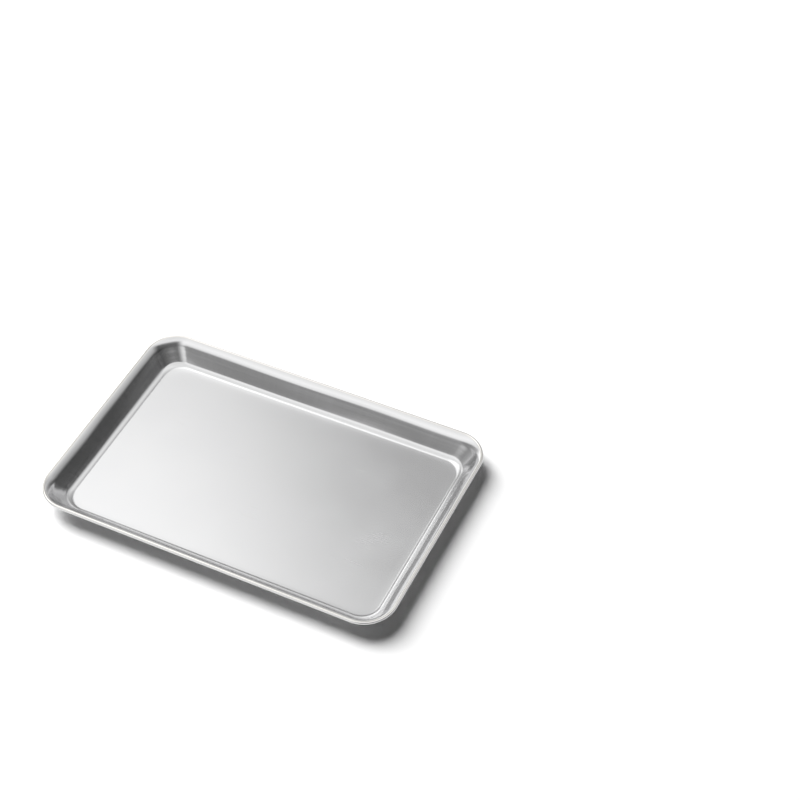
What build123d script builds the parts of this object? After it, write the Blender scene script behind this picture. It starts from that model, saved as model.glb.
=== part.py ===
from build123d import *

import os
from math import cos, radians, sin, tan

# Shallow rectangular instrument tray.
# A blank of stainless sheet is drawn into a pan with a flat floor and sloping walls
# that ease outwards into a lip. Its edge is curled outwards round a steel wire,
# which stiffens the rim.
# Origin: centre of the underside. +X along the long side, +Z up. Millimetres.

os.makedirs("parts", exist_ok=True)

# ---- driving dimensions ----
length = 300.0  # over the rim, along X
width = 200.0  # over the rim, along Y
height = 19.5  # from the underside to the top of the rim
sheet = 0.7  # thickness of the stainless sheet
corner_radius = 26.0  # outside of the rim, seen from above
floor_corner_radius = 16.0  # where the wall meets the floor, seen from above
lip_angle = 38.0  # slope at which the curl runs into the lip, in degrees
lip_radius = 20.0  # slow bend of the lip, from the curl to the wall
wall_angle = 57.5  # slope of the straight wall, in degrees from the floor
cove_radius = 6.0  # inside bend between the wall and the floor
curl_end_angle = 330.0  # where the curl's free edge ends, in degrees round the wire
wire_diameter = 1.6  # wire inside the curl
wire_clearance = 0.03  # between the wire and the sheet curled round it
wire_gap = 0.5  # gap where the two ends of the wire ring meet

# ---- derived sizes ----
curl_radius = wire_diameter / 2 + wire_clearance + sheet  # outside of the curl
rim_z = height - curl_radius  # height of the wire's centre line
wall_run = 1 / tan(radians(wall_angle))  # horizontal travel of a wall per mm of height
wall_normal = (sin(radians(wall_angle)), cos(radians(wall_angle)))  # inwards, upwards

# The lip ends where the wall becomes straight. Inset is measured from the rim's outside.
lip_end_inset = (
    curl_radius
    + (curl_radius - lip_radius) * sin(radians(lip_angle))
    + lip_radius * wall_normal[0]
)
lip_end_z = (
    rim_z
    + (curl_radius - lip_radius) * cos(radians(lip_angle))
    + lip_radius * wall_normal[1]
)
join_z = lip_end_z - sheet  # the drawn basin ends here and the rim section begins


def outline(inset, radius, z):
    """Rounded rectangle at height z, inset from the outside of the rim."""
    with BuildSketch(Plane.XY.offset(z)) as ring:
        RectangleRounded(length - 2 * inset, width - 2 * inset, radius)
    return ring.sketch


def wall_inset(depth, z):
    """Inset at height z of the face that lies this deep below the wall's inside face."""
    return lip_end_inset + (lip_end_z - z) * wall_run - depth / wall_normal[0]


def basin(depth, floor_z, bend):
    """Solid between the floor plane and the join, bounded by one face of the wall."""
    join_inset = wall_inset(depth, join_z)
    with BuildPart() as block:
        bottom = outline(wall_inset(depth, floor_z), floor_corner_radius, floor_z)
        top = outline(join_inset, corner_radius - join_inset, join_z)
        loft(sections=[bottom, top])
        fillet(block.edges().group_by(Axis.Z)[0], bend)
    return block.part


# Centre line of the rim: the wire follows it, and the rim section is carried along it.
rim_path = outline(curl_radius, corner_radius - curl_radius, rim_z).wire()
tangent = rim_path % 0
rim_plane = Plane(
    origin=rim_path @ 0, x_dir=Vector(0, 0, 1).cross(tangent), z_dir=tangent
)

# ---- pan: drawn sheet with a curled edge ----
curl_start_angle = 90 - lip_angle  # round the wire, from the inward direction
curl_turn = curl_end_angle - curl_start_angle
lip_turn = lip_angle - wall_angle  # negative: the lip turns down into the wall


def rim_face(depth):
    """One face of the rim section, this deep in the sheet: curl, lip and wall."""
    curl = CenterArc((0, 0), curl_radius - depth, curl_start_angle, curl_turn)
    lip_start = (cos(radians(lip_angle)), -sin(radians(lip_angle)))
    lip = JernArc(curl @ 0, lip_start, lip_radius - depth, lip_turn)
    foot = (wall_inset(depth, join_z) - curl_radius, join_z - rim_z)
    Line(lip @ 1, foot)
    return curl @ 1, foot


with BuildPart() as pan:
    # walls and floor: the space inside is taken out of the outer shape
    add(basin(sheet, 0, cove_radius + sheet))
    add(basin(0, sheet, cove_radius), mode=Mode.SUBTRACT)

    # rim: the sheet runs on over the lip, round the wire and under it
    with BuildSketch(rim_plane) as rim_section:
        with BuildLine():
            inside_edge, inside_foot = rim_face(0)
            outside_edge, outside_foot = rim_face(sheet)
            Line(inside_edge, outside_edge)
            Line(inside_foot, outside_foot)
        make_face()
    sweep(sections=rim_section.sketch, path=rim_path)

pan.part.label = "pan"
export_step(pan.part, "parts/pan.step")

# ---- rim_wire: round wire bent to a ring, its ends meeting in the rear long side ----
with BuildPart() as rim_wire:
    with BuildSketch(rim_plane):
        Circle(wire_diameter / 2)
    sweep(path=rim_path)
    with Locations((0, width / 2 - curl_radius, rim_z)):
        Box(wire_gap, 2 * wire_diameter, 2 * wire_diameter, mode=Mode.SUBTRACT)

rim_wire.part.label = "rim_wire"
export_step(rim_wire.part, "parts/rim_wire.step")
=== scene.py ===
from math import cos, pi, radians, sin, tan

import bpy
import numpy as np
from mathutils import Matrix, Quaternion, Vector


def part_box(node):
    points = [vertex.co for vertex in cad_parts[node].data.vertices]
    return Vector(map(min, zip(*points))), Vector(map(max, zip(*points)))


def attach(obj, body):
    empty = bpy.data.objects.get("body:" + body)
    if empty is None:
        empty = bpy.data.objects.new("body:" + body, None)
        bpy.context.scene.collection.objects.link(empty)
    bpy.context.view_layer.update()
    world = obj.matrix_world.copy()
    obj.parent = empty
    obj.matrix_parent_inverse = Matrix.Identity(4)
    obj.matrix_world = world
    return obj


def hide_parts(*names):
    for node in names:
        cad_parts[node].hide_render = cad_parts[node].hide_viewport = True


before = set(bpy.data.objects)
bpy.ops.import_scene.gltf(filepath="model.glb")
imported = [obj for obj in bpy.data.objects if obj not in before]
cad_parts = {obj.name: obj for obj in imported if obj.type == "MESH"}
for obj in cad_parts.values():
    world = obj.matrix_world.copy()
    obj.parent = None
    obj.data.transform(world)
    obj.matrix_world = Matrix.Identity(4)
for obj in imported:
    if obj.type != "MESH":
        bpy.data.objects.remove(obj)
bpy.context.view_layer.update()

# ---------------------------------------------------------------------------
# The pan. One blank of 0.7 mm austenitic stainless sheet, drawn to a flat floor
# with a coved foot, sloping walls and a lip. Its edge is then curled outwards and
# under, round the rim wire, so that no sheared edge is left to touch.
# ---------------------------------------------------------------------------
MM = 0.001

low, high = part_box("pan")
tray_length = (high.x - low.x) / MM
tray_width = (high.y - low.y) / MM
rim_top = high.z / MM

wire_low, wire_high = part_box("rim_wire")
wire_height = (wire_high.z + wire_low.z) / MM / 2  # centre line of the wire

sheet = 0.7
curl_radius = rim_top - wire_height  # outside of the roll
corner_radius = 26.0  # outside of the rim, seen from above
corner_relief = 5.6  # extra roundness of the corners, one relief_over further in
relief_from, relief_over = 7.5, 8.1  # inset where that starts, and how fast it grows
relief_cap = 1.4  # it stops growing here, at the foot of the cove
cove_radius = 6.0
wall_slope = radians(57.5)  # straight wall, from the floor
lip_slope = radians(38)  # where the lip runs into the roll
lip_radius = 20.0  # the slow bend between those two slopes
slack = 0.18  # size of the slow waves by which the long walls bow in and out
slack_full, slack_gone = 12.0, 27.0  # travel where the bow is full, and where it is gone
slack_fade = 9.0  # travel over which it dies away below the roll
curl_end = radians(-240)  # slope of the sheet at the roll's free edge
edge_radius = sheet / 2  # the free edge is deburred


def bend(start, slope_from, slope_to, radius, steps):
    """Arc of a profile that is climbing outwards. Points are (inset, height).

    A slope s turns at a steady rate, so inset falls by radius * (sin s - sin s0) and
    height rises by radius * (cos s0 - cos s). A negative radius bends over, not up.
    """
    slope = np.linspace(slope_from, slope_to, steps)
    inset = start[0] - radius * (np.sin(slope) - np.sin(slope_from))
    height = start[1] + radius * (np.cos(slope_from) - np.cos(slope))
    return np.stack([inset, height, slope], axis=1)


def profile():
    """Rows (inset, height, slope) up the inside of the pan and round the curl, in mm.

    Worked from the top down: the roll is a circle round the wire, the lip is tangent to
    it, the lower wall is straight, and the cove brings it to the floor.
    """
    lip_top = np.array(
        [
            curl_radius + curl_radius * np.sin(lip_slope),
            wire_height + curl_radius * np.cos(lip_slope),
        ]
    )
    lip = bend(lip_top, lip_slope, wall_slope, -lip_radius, 14)[::-1]
    wall_top = lip[0, :2]
    cove_rise = cove_radius * (1 - cos(wall_slope))
    wall_rise = wall_top[1] - sheet - cove_rise
    wall_foot = wall_top + np.array([wall_rise / tan(wall_slope), -wall_rise])
    cove_foot = wall_foot + np.array([cove_radius * sin(wall_slope), -cove_rise])
    cove = bend(cove_foot, 0.0, wall_slope, cove_radius, 17)
    share = np.linspace(0, 1, 16)[1:-1, None]
    straight = wall_foot + share * (wall_top - wall_foot)
    straight = np.column_stack([straight, np.full(len(straight), wall_slope)])
    roll = bend(lip_top, lip_slope, curl_end, -curl_radius, 36)[1:]
    return np.concatenate([cove, straight, lip, roll])


def section():
    """Closed section of the sheet from the floor outwards and back.

    The inside face, a half round over the free edge, then the same face moved through
    the sheet along its own normal. Rows are (inset, height, travel): travel is the
    distance along the inside face from the edge of the flat floor.
    """
    face = profile()
    normal = np.stack([np.sin(face[:, 2]), np.cos(face[:, 2])], axis=1)
    top = face[:, :2]
    under = top - sheet * normal
    middle = top[-1] - edge_radius * normal[-1]
    onward = np.array([-cos(curl_end), sin(curl_end)])
    turn = np.linspace(0, pi, 7)[1:-1, None]
    edge = middle + edge_radius * (np.cos(turn) * normal[-1] + np.sin(turn) * onward)
    steps = np.linalg.norm(np.diff(top, axis=0), axis=1)
    travel = np.concatenate([[0], np.cumsum(steps)])
    travel = np.concatenate([travel, np.full(len(edge), travel[-1]), travel[::-1]])
    return np.column_stack([np.concatenate([top, edge, under[::-1]]), travel])


def round_the_tray(side_steps, end_steps, corner_steps):
    """Columns round the tray: (fx, fy, angle), starting at the middle of the right side.

    A point is (fx * (a - R) + R * cos(angle), fy * (b - R) + R * sin(angle)). The angle
    turns only in the corners, and fx or fy runs from one corner to the next between them.
    """
    quarter = np.linspace(0, pi / 2, corner_steps)
    side = np.linspace(1, -1, side_steps)[1:-1]
    end = np.linspace(1, -1, end_steps)[1:-1]
    parts = []
    for turn, (sx, sy) in enumerate([(1, 1), (-1, 1), (-1, -1), (1, -1)]):
        angle = quarter + turn * pi / 2
        parts.append(np.stack([0 * angle + sx, 0 * angle + sy, angle], axis=1))
        run = side if turn % 2 == 0 else end
        still = 0 * run + (turn + 1) * pi / 2
        if turn % 2 == 0:
            parts.append(np.stack([run * sx, 0 * run + sy, still], axis=1))
        else:
            parts.append(np.stack([0 * run + sx, run * sy, still], axis=1))
    return np.concatenate(parts)


def smooth(x):
    """0 below 0, 1 above 1, and an even S between."""
    x = np.clip(x, 0, 1)
    return x * x * (3 - 2 * x)


def carry(section_rows, columns):
    """Grid of points (row, column, xyz): a section carried round the rounded rectangle.

    The walls bow by two slow sine waves along each side. The bow fades to nothing at
    the floor, at the roll and in the corners, which hold the sheet stiff.
    """
    inset, height, travel = section_rows.T[:, :, None]
    fx, fy, angle = columns.T
    relief = corner_relief * np.clip((inset - relief_from) / relief_over, 0, relief_cap)
    free = smooth(travel / slack_full) * smooth((slack_gone - travel) / slack_fade)
    wave = np.sin(4.1 * fx + 2.7 * fy + 0.6) + 0.5 * np.sin(7.3 * fy - 5.2 * fx)
    inset = inset + slack * free * (1 - (fx * fy) ** 2) * wave
    radius = corner_radius - inset + relief
    x = fx * (tray_length / 2 - inset - radius) + radius * np.cos(angle)
    y = fy * (tray_width / 2 - inset - radius) + radius * np.sin(angle)
    z = height + 0 * x
    return np.stack([x, y, z], axis=-1)


def quads(rows, columns):
    """Faces of a grid whose columns close on themselves and whose rows don't."""
    index = np.arange(rows * columns).reshape(rows, columns)
    beside = np.roll(index, -1, axis=1)
    return np.stack([index[:-1], index[1:], beside[1:], beside[:-1]], axis=-1).reshape(-1, 4)


columns = round_the_tray(91, 61, 25)
rows = section()
shell = carry(rows, columns)

# The floor and the underside close in rings on a point at the middle.
rings = np.linspace(0, 1, 20)[1:-1] ** 0.8
floor_rings = rings[:, None, None] * shell[0] * [1, 1, 0] + [0, 0, shell[0, 0, 2]]
under_rings = rings[::-1, None, None] * shell[-1] * [1, 1, 0] + [0, 0, shell[-1, 0, 2]]
grid = np.concatenate([floor_rings, shell, under_rings])
n_rows, n_columns = grid.shape[:2]

points = grid.reshape(-1, 3) * MM
first, last = len(points), len(points) + 1
poles = np.array([[0, 0, grid[0, 0, 2]], [0, 0, grid[-1, 0, 2]]]) * MM
points = np.concatenate([points, poles])
ring = np.arange(n_columns)
beside = np.roll(ring, -1)
top_fan = np.stack([0 * ring + first, ring, beside], axis=1)
ring_end = ring + (n_rows - 1) * n_columns
under_fan = np.stack([ring_end, 0 * ring + last, np.roll(ring_end, -1)], axis=1)
faces = quads(n_rows, n_columns).tolist() + top_fan.tolist() + under_fan.tolist()

mesh = bpy.data.meshes.new("drawn_pan")
mesh.from_pydata(points.tolist(), [], faces)
mesh.shade_smooth()


def store(name, kind, field, values):
    """Stores one value per grid point, and the first and last rows' means at the poles."""
    flat = values.reshape(n_rows * n_columns, -1)
    ends = [flat[:n_columns].mean(axis=0), flat[-n_columns:].mean(axis=0)]
    layer = mesh.attributes.new(name, kind, "POINT")
    layer.data.foreach_set(field, np.concatenate([flat, ends]).astype("f").ravel())


# How far each point was drawn: 0 on the floor and low cove, 1 from the lower wall up.
drawn_from, drawn_over = 2.5, 6.5
travel = np.concatenate([0 * rings, rows[:, 2], 0 * rings])[:, None] + np.zeros(n_columns)
store("drawn", "FLOAT", "value", smooth((travel - drawn_from) / drawn_over))
# The top of the roll, where hands and other trays rub. It is smoother there, and its
# colour is painted brighter there as a painted highlight.
crest_reach = 1.9  # either side of the crest
crest_depth = 0.5  # how far below the wire it goes on the outside
rub_and_highlight = 1 - np.abs(rows[:, 0] - curl_radius) / crest_reach
rub_and_highlight = smooth(rub_and_highlight) * (rows[:, 1] > wire_height - crest_depth)
rub_and_highlight = np.concatenate([0 * rings, rub_and_highlight, 0 * rings])[:, None] + np.zeros(n_columns)
store("rub_and_highlight", "FLOAT", "value", rub_and_highlight)
# Where on the rim's outline a point was drawn from, with its travel as the third value.
outline = carry(np.array([[0.0, rim_top, 0.0]]), columns)[0, :, :2]
source = np.broadcast_to(outline, (n_rows, n_columns, 2))
store("source", "FLOAT_VECTOR", "vector", np.dstack([source, travel]) * MM)

pan = bpy.data.objects.new("drawn_pan", mesh)
bpy.context.scene.collection.objects.link(pan)
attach(pan, "root")
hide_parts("pan")


def linear(hex_colour):
    """sRGB hex to linear RGBA."""
    c = np.array([int(hex_colour[i : i + 2], 16) for i in (1, 3, 5)]) / 255
    c = np.where(c <= 0.04045, c / 12.92, ((c + 0.055) / 1.055) ** 2.4)
    return (*c.tolist(), 1.0)


def add(tree, kind, inputs=None, **settings):
    """Adds a node with its settings. An input is a value, an output or a whole node."""
    node = tree.nodes.new(kind)
    for name, value in settings.items():
        setattr(node, name, value)
    for name, value in (inputs or {}).items():
        if isinstance(value, bpy.types.Node):
            value = value.outputs[0]
        if isinstance(value, bpy.types.NodeSocket):
            tree.links.new(value, node.inputs[name])
        else:
            node.inputs[name].default_value = value
    return node


def material(name):
    """A new material and its node tree, which is still empty."""
    made = bpy.data.materials.new(name)
    made.use_nodes = True
    made.node_tree.nodes.clear()
    return made, made.node_tree


# Satin stainless sheet, 2B mill finish. The floor has a soft, slightly cloudy glow.
# The drawn walls are burnished by the die, so they mirror more sharply, in faint
# streaks and bands. The crest of the rim is rubbed smoother. Its colour there is painted
# brighter and a little warmer, a painted highlight.
satin, tree = material("satin_stainless_sheet")
place = add(tree, "ShaderNodeTexCoord").outputs["Object"]
source = add(tree, "ShaderNodeAttribute", attribute_name="source").outputs["Vector"]
drawn = add(tree, "ShaderNodeAttribute", attribute_name="drawn").outputs["Fac"]
rub_and_highlight = add(tree, "ShaderNodeAttribute", attribute_name="rub_and_highlight").outputs["Fac"]
flat = add(tree, "ShaderNodeMath", {0: 1.0, 1: drawn}, operation="SUBTRACT")

# Marks in the surface: the coordinates they follow, the size of a feature in mm, its
# turn in degrees, and the noise's detail. Mill grain is really under 0.1 mm wide and
# a hairline scratch about 0.05 mm, so both are drawn coarser to show at all.
marks = {}
for name, follows, feature, turn, detail in (
    ("grain", place, (11, 0.5, 11), 0, 3.0),
    ("cloud", place, (70, 55, 70), 0, 4.0),
    ("streaks", source, (2.4, 2.4, 100), 0, 1.5),  # up the walls
    ("bands", source, (200, 200, 4), 0, 1.0),  # along the walls
    ("scratches_one_way", place, (40, 0.67, 40), 31, 0.0),
    ("scratches_crossing", place, (33, 0.6, 33), -52, 0.0),
):
    placed = {
        "Vector": follows,
        "Rotation": (0, 0, radians(turn)),
        "Scale": [1 / (size * MM) for size in feature],
    }
    placed = add(tree, "ShaderNodeMapping", placed)
    fed = {"Vector": placed, "Scale": 1.0, "Detail": detail}
    marks[name] = add(tree, "ShaderNodeTexNoise", fed)

# Only the peaks of the scratch noise are scratches. Grain stays on the floor, and
# streaks and bands stay on the walls.
hairlines = add(
    tree,
    "ShaderNodeMath",
    {0: marks["scratches_one_way"], 1: marks["scratches_crossing"]},
    operation="MAXIMUM",
)
hairlines = add(tree, "ShaderNodeMapRange", {"Value": hairlines, 1: 0.77, 2: 0.83})
for name, share in (("grain", flat), ("streaks", drawn), ("bands", drawn)):
    weighed = {0: marks[name], 1: share}
    marks[name] = add(tree, "ShaderNodeMath", weighed, operation="MULTIPLY")

roughness = add(tree, "ShaderNodeMapRange", {"Value": drawn, 3: 0.19, 4: 0.065})
for mark, change in (
    (marks["cloud"], 0.09),
    (marks["grain"], 0.035),
    (marks["streaks"], 0.05),
    (hairlines, 0.015),
    (rub_and_highlight, -0.03),
):
    fed = {0: mark, 1: change, 2: roughness}
    roughness = add(tree, "ShaderNodeMath", fed, operation="MULTIPLY_ADD")

relief = 0.0  # metres
for mark, depth in (
    (marks["grain"], 0.0015),
    (marks["streaks"], 0.002),
    (marks["bands"], 0.05),
    (hairlines, -0.0008),
):
    fed = {0: mark, 1: depth * MM, 2: relief}
    relief = add(tree, "ShaderNodeMath", fed, operation="MULTIPLY_ADD")
bump = add(tree, "ShaderNodeBump", {"Height": relief, "Distance": 1.0, "Strength": 1.0})

colour = linear("#cfcfcf")
# The cloud varies the tone at random. The crest of the roll is painted brighter and warmer, a
# painted highlight.
for amount, toward in ((marks["cloud"], "#d8d8d9"), (rub_and_highlight, "#dedcd8")):
    fed = {0: amount, 6: colour, 7: linear(toward)}
    colour = add(tree, "ShaderNodeMix", fed, data_type="RGBA").outputs[2]
steel = {"Base Color": colour, "Metallic": 1.0, "Roughness": roughness, "Normal": bump}
shader = add(tree, "ShaderNodeBsdfPrincipled", steel)
add(tree, "ShaderNodeOutputMaterial", {"Surface": shader})
mesh.materials.append(satin)

# ---------------------------------------------------------------------------
# The rim wire. Hard-drawn stainless wire, 1.6 mm thick, bent to the outline of the
# rim. It is held only by the sheet rolled round it, and the roll hides nearly all of it.
# ---------------------------------------------------------------------------
# Drawn wire: dull grey metal whose sheen is broken up by the residue of the drawing
# soap. The patches are really under 1 mm and are drawn at 3 mm.
wire_steel, tree = material("drawn_stainless_wire")
place = add(tree, "ShaderNodeTexCoord").outputs["Object"]
residue = {"Vector": place, "Scale": 1 / (3 * MM), "Detail": 3.0}
residue = add(tree, "ShaderNodeTexNoise", residue)
sheen = add(tree, "ShaderNodeMapRange", {"Value": residue, 1: 0.3, 2: 0.7, 3: 0.28, 4: 0.46})
steel = {"Base Color": linear("#a8a6a3"), "Metallic": 1.0, "Roughness": sheen}
shader = add(tree, "ShaderNodeBsdfPrincipled", steel)
add(tree, "ShaderNodeOutputMaterial", {"Surface": shader})
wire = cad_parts["rim_wire"]
wire.data.materials.clear()
wire.data.materials.append(wire_steel)

# ---------------------------------------------------------------------------
# The stage: a plain white table, soft light from the left and above, the camera.
# ---------------------------------------------------------------------------
table_mesh = bpy.data.meshes.new("table")
reach = 1.5  # metres from the middle of the table to its edges
table_mesh.from_pydata(
    [(-reach, -reach, 0), (reach, -reach, 0), (reach, reach, 0), (-reach, reach, 0)],
    [],
    [(0, 1, 2, 3)],
)
table = bpy.data.objects.new("table", table_mesh)
bpy.context.scene.collection.objects.link(table)
# Matt white paper: no gloss, so only the soft shadow marks it.
paper, tree = material("matt_white_paper")
matt = {"Base Color": linear("#f2f2f2"), "Roughness": 0.9, "Specular IOR Level": 0.0}
shader = add(tree, "ShaderNodeBsdfPrincipled", matt)
add(tree, "ShaderNodeOutputMaterial", {"Surface": shader})
table_mesh.materials.append(paper)


def direction(azimuth, elevation):
    """Unit vector towards an azimuth, turned from +Y towards -X, and an elevation."""
    a, e = radians(azimuth), radians(elevation)
    return Vector((-sin(a) * cos(e), cos(a) * cos(e), sin(e)))


key = bpy.data.lights.new("key_softbox", "AREA")
key.shape = "RECTANGLE"
key.size, key.size_y = 1.9, 3.0
key.energy = 180.0
key_lamp = bpy.data.objects.new("key_softbox", key)
key_aim = direction(77, 56)
key_distance = 3.0
key_lamp.location = key_aim * key_distance
key_lamp.rotation_mode = "QUATERNION"
key_lamp.rotation_quaternion = key_aim.to_track_quat("Z", "Y")
key_lamp.visible_glossy = False
key_lamp.visible_camera = False
bpy.context.scene.collection.objects.link(key_lamp)

# The studio that the steel mirrors. Each of four quarters has its own brightness by
# height, which is the sine of the elevation, and the quarters blend round the tray.
world = bpy.data.worlds.new("studio")
world.use_nodes = True
tree = world.node_tree
tree.nodes.clear()
place = add(tree, "ShaderNodeTexCoord").outputs["Generated"]
split = add(tree, "ShaderNodeSeparateXYZ", {0: place})
height = split.outputs["Z"]
level = add(tree, "ShaderNodeCombineXYZ", {0: split.outputs["X"], 1: split.outputs["Y"]})
level = add(tree, "ShaderNodeVectorMath", {0: level}, operation="NORMALIZE")

brightest = 1.5
# Pairs of height and brightness, from the table upwards.
low_window = ((0, 0.9), (0.15, 1.0), (0.28, 1.32), (0.35, 1.32))
window_side = (*low_window, (0.46, 0.22), (0.8, 0.3), (1, 1.1))
dark_side = ((0.1, 0.1), (0.16, 0.13), (0.33, 0.62), (0.53, 0.88), (0.74, 1.25))
room_side = ((0, 0.38), (0.24, 0.31), (0.32, 1.15), (0.5, 1.4), (0.63, 1.3), (0.8, 1.1))
sky = 0.0
for azimuth, levels in (
    (38, window_side),
    (-52, dark_side),
    (128, room_side),
    (-142, room_side),
):
    ramp = add(tree, "ShaderNodeValToRGB", {0: height})
    stops = ramp.color_ramp.elements
    stops[0].position, stops[1].position = levels[0][0], levels[-1][0]
    for stop_height, bright in levels[1:-1]:
        stops.new(stop_height)
    for stop, (stop_height, bright) in zip(stops, levels):
        stop.color = (*[bright / brightest] * 3, 1.0)
    facing = {0: level, 1: direction(azimuth, 0)}
    facing = add(tree, "ShaderNodeVectorMath", facing, operation="DOT_PRODUCT")
    facing = {0: facing.outputs["Value"], 1: 0.0}
    facing = add(tree, "ShaderNodeMath", facing, operation="MAXIMUM")
    share = add(tree, "ShaderNodeMath", {0: facing, 1: facing}, operation="MULTIPLY")
    sky = add(tree, "ShaderNodeMath", {0: share, 1: ramp, 2: sky}, operation="MULTIPLY_ADD")
sky = add(tree, "ShaderNodeMath", {0: sky, 1: brightest}, operation="MULTIPLY")


def patch(azimuth, outer, inner, *heights):
    """How far a direction lies in a patch of the studio, 0 outside it and 1 well inside.

    The patch's edges are a cosine of the angle off its azimuth, from outer to inner, and
    pairs of heights, each from clear of the patch to well within it.
    """
    facing = {0: level, 1: direction(azimuth, 0)}
    facing = add(tree, "ShaderNodeVectorMath", facing, operation="DOT_PRODUCT")
    inside = 1.0
    around = (facing.outputs["Value"], outer, inner)
    for value, clear, within in (around, *[(height, *pair) for pair in heights]):
        fed = {"Value": value, 1: clear, 2: within}
        edge = add(tree, "ShaderNodeMapRange", fed, interpolation_type="SMOOTHSTEP")
        inside = add(tree, "ShaderNodeMath", {0: inside, 1: edge}, operation="MULTIPLY")
    return inside


# A large softbox stands behind the tray to the left, and a low window to its left.
softbox = patch(62, 0.84, 0.89, (0.61, 0.71), (0.98, 0.88))
window = patch(56, 0.84, 0.96, (-0.1, 0.02), (0.42, 0.28))
for lit, strength in ((softbox, 1.38), (window, 0.75)):
    sky = add(tree, "ShaderNodeMath", {0: lit, 1: strength, 2: sky}, operation="MULTIPLY_ADD")
# A black flag to the front right keeps light out of the left wall and its corner.
flag = patch(-122, 0.3, 0.8, (-0.1, 0.0), (0.68, 0.54))
left_over = add(tree, "ShaderNodeMath", {0: flag, 1: -0.85, 2: 1.0}, operation="MULTIPLY_ADD")
sky = add(tree, "ShaderNodeMath", {0: sky, 1: left_over}, operation="MULTIPLY")

# The steel mirrors that studio, the table has only a weak fill besides the key light,
# and the backdrop is plain white.
mirrored = add(tree, "ShaderNodeBackground", {"Color": sky, "Strength": 1.0})
fill = add(tree, "ShaderNodeBackground", {"Color": linear("#ffffff"), "Strength": 0.05})
backdrop = add(tree, "ShaderNodeBackground", {"Color": linear("#ffffff"), "Strength": 1.0})
path = add(tree, "ShaderNodeLightPath").outputs
lighting = {0: path["Is Glossy Ray"], 1: fill, 2: mirrored}
lighting = add(tree, "ShaderNodeMixShader", lighting)
seen = add(tree, "ShaderNodeMixShader", {0: path["Is Camera Ray"], 1: lighting, 2: backdrop})
add(tree, "ShaderNodeOutputWorld", {"Surface": seen})
bpy.context.scene.world = world
bpy.context.scene.view_settings.view_transform = "Standard"

camera_data = bpy.data.cameras.new("camera")
camera_data.lens = 81.8
camera_data.sensor_width = 36.0
camera = bpy.data.objects.new("camera", camera_data)
camera_distance = 1.4503
back = direction(180 + 26.844, 47.453)
camera.rotation_mode = "QUATERNION"
camera.rotation_quaternion = (-back).to_track_quat("-Z", "Y") @ Quaternion(
    (0, 0, 1), radians(-1.492)
)
aim = Vector((0.0636, 0.1099, wire_height * MM + 0.0003))
camera.location = aim + back * camera_distance
bpy.context.scene.collection.objects.link(camera)
bpy.context.scene.camera = camera
